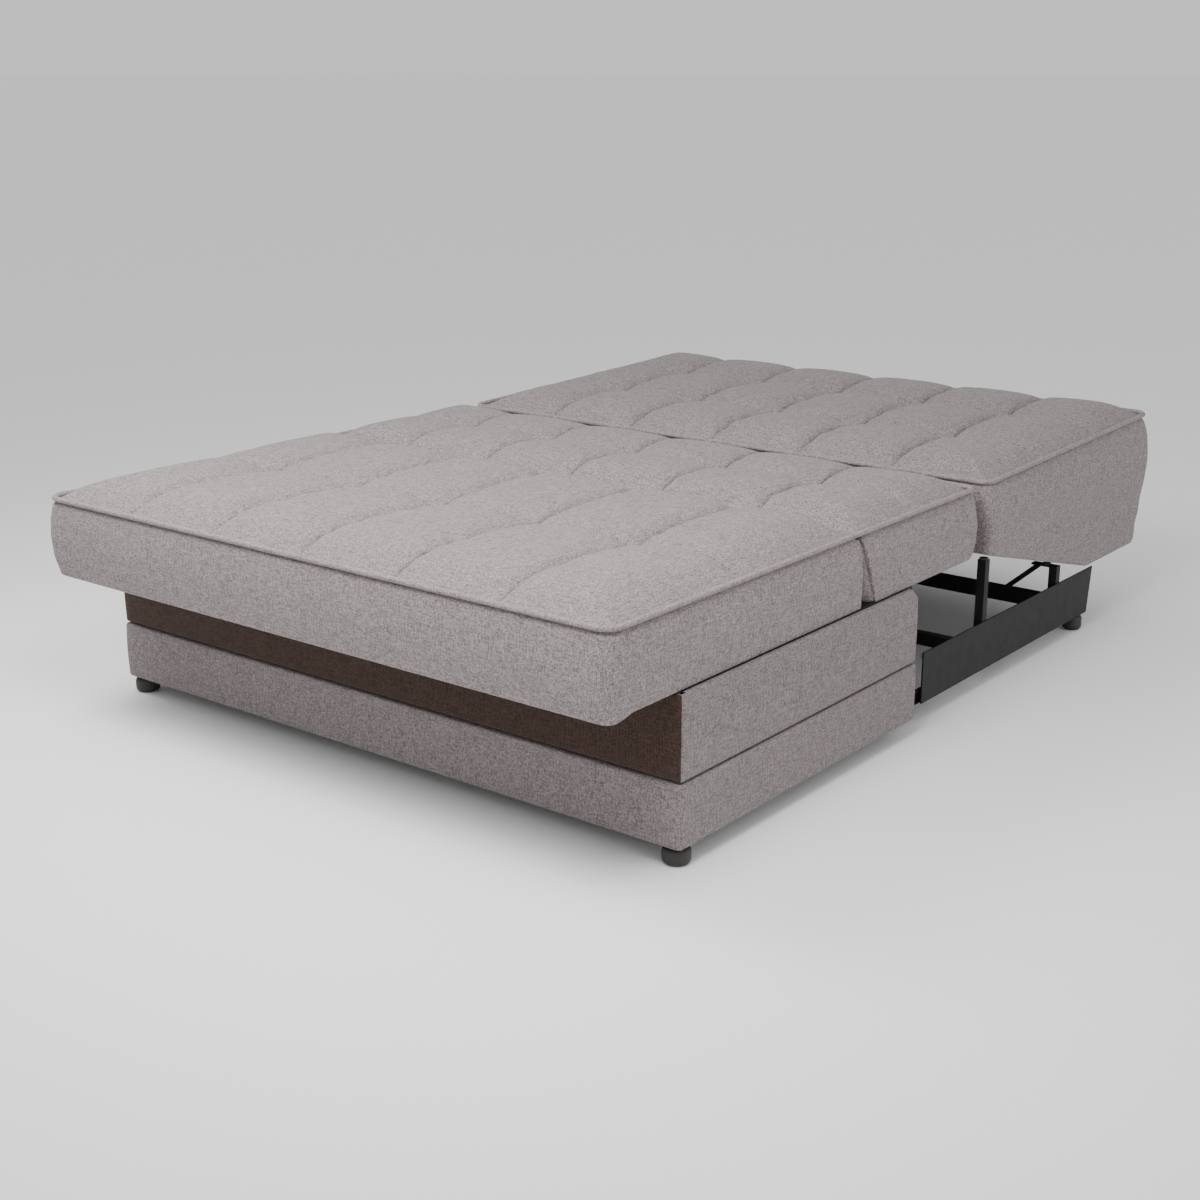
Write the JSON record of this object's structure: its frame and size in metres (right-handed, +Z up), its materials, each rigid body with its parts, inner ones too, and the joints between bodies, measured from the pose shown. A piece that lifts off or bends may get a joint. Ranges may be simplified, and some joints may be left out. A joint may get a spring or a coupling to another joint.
{
  "type": "futon sofa bed",
  "caption": "Low fabric sofa bed shown flat: tufted cushion panels that fold into a seat and backrest over a box base, with a black steel support frame that slides under it.",
  "frame": {"origin": "centre of the flat bed's bounding box at floor level", "axes": "+X to the right seen from the front, +Y from the seat's front to the rear end of the bed, +Z up"},
  "size_m": [1.37, 2.0322, 0.464],
  "materials": {
    "fabric": "woven warm grey melange cloth",
    "base_fabric": "the same cloth stretched over board",
    "shadow_fabric": "dark brown woven cloth",
    "piping": "self-fabric piping",
    "wood": "lacquered birch",
    "zinc": "zinc-plated",
    "grey_steel": "grey powder coat",
    "black_steel": "satin black powder coat",
    "foot_plastic": "moulded black plastic",
    "rubber": "matt",
    "lining": "black non-woven lining on board"
  },
  "bodies": {
    "base": {"lower_front_panel": "base_fabric", "lower_side_left": "base_fabric", "lower_side_right": "base_fabric", "upper_front_panel": "shadow_fabric", "upper_side_left": "base_fabric", "upper_side_right": "base_fabric", "corner_blocks": "wood", "joining_plates": "zinc", "band_screws": "zinc", "base_top_frame": "black_steel", "rear_strap": "black_steel", "front_foot_left": "foot_plastic", "front_foot_right": "foot_plastic", "rear_foot_left": "foot_plastic", "rear_foot_right": "foot_plastic", "runner_outer_left": "black_steel", "runner_outer_right": "black_steel", "seat_frame": "grey_steel", "seat_slats": "wood", "seat_cushion": "fabric", "seat_piping": "piping", "seat_hinge_plate_left": "zinc", "seat_hinge_plate_right": "zinc", "fold_pins": "zinc"},
    "middle_panel": {"middle_frame": "grey_steel", "middle_slats": "wood", "middle_cushion": "fabric", "middle_piping": "piping", "fold_hinge_plate_left": "zinc", "fold_hinge_plate_right": "zinc", "rear_hinge_arm_left": "black_steel", "rear_hinge_arm_right": "black_steel", "rear_hinge_pins": "zinc"},
    "rear_panel": {"wedge_frame": "grey_steel", "wedge_slats": "wood", "wedge_board_left": "wood", "wedge_board_right": "wood", "wedge_end_board": "wood", "wedge_bottom_board": "lining", "wedge_cushion": "fabric", "wedge_piping": "piping", "rear_hinge_leaves": "black_steel"},
    "pullout_frame": {"side_rail_left": "black_steel", "side_rail_right": "black_steel", "runner_inner_left": "black_steel", "runner_inner_right": "black_steel", "front_cross_bar": "black_steel", "rear_cross_bar": "black_steel", "front_posts": "black_steel", "rear_posts": "black_steel", "rear_post_plates": "black_steel", "corner_braces": "black_steel", "support_pads": "rubber", "pullout_foot_left": "foot_plastic", "pullout_foot_right": "foot_plastic", "rail_bolts": "zinc"},
    "runner_left": {"runner_middle_left": "black_steel"},
    "runner_right": {"runner_middle_right": "black_steel"}
  },
  "joints": [
    {"name": "back_fold", "type": "hinge", "parent": "base", "child": "middle_panel", "pos_m": [0, -0.305, 0.42], "axis": [1, 0, 0], "range_deg": [0, 75]},
    {"name": "rear_fold", "type": "hinge", "parent": "middle_panel", "child": "rear_panel", "pos_m": [0, 0.207, 0.262], "axis": [1, 0, 0], "range_deg": [-157, 0]},
    {"name": "frame_slide", "type": "slide", "parent": "base", "child": "pullout_frame", "axis": [0, -1, 0], "range_m": [0, 0.798]},
    {"name": "runner_slide_left", "type": "slide", "parent": "base", "child": "runner_left", "axis": [0, -1, 0], "range_m": [0, 0.399]},
    {"name": "runner_slide_right", "type": "slide", "parent": "base", "child": "runner_right", "axis": [0, -1, 0], "range_m": [0, 0.399]}
  ],
  "couplings": [
    {"joint": "rear_fold", "follows": "back_fold", "ratio": -2.0933},
    {"joint": "frame_slide", "follows": "back_fold", "m_per_rad": 0.60962},
    {"joint": "runner_slide_left", "follows": "back_fold", "m_per_rad": 0.30481},
    {"joint": "runner_slide_right", "follows": "back_fold", "m_per_rad": 0.30481}
  ]
}
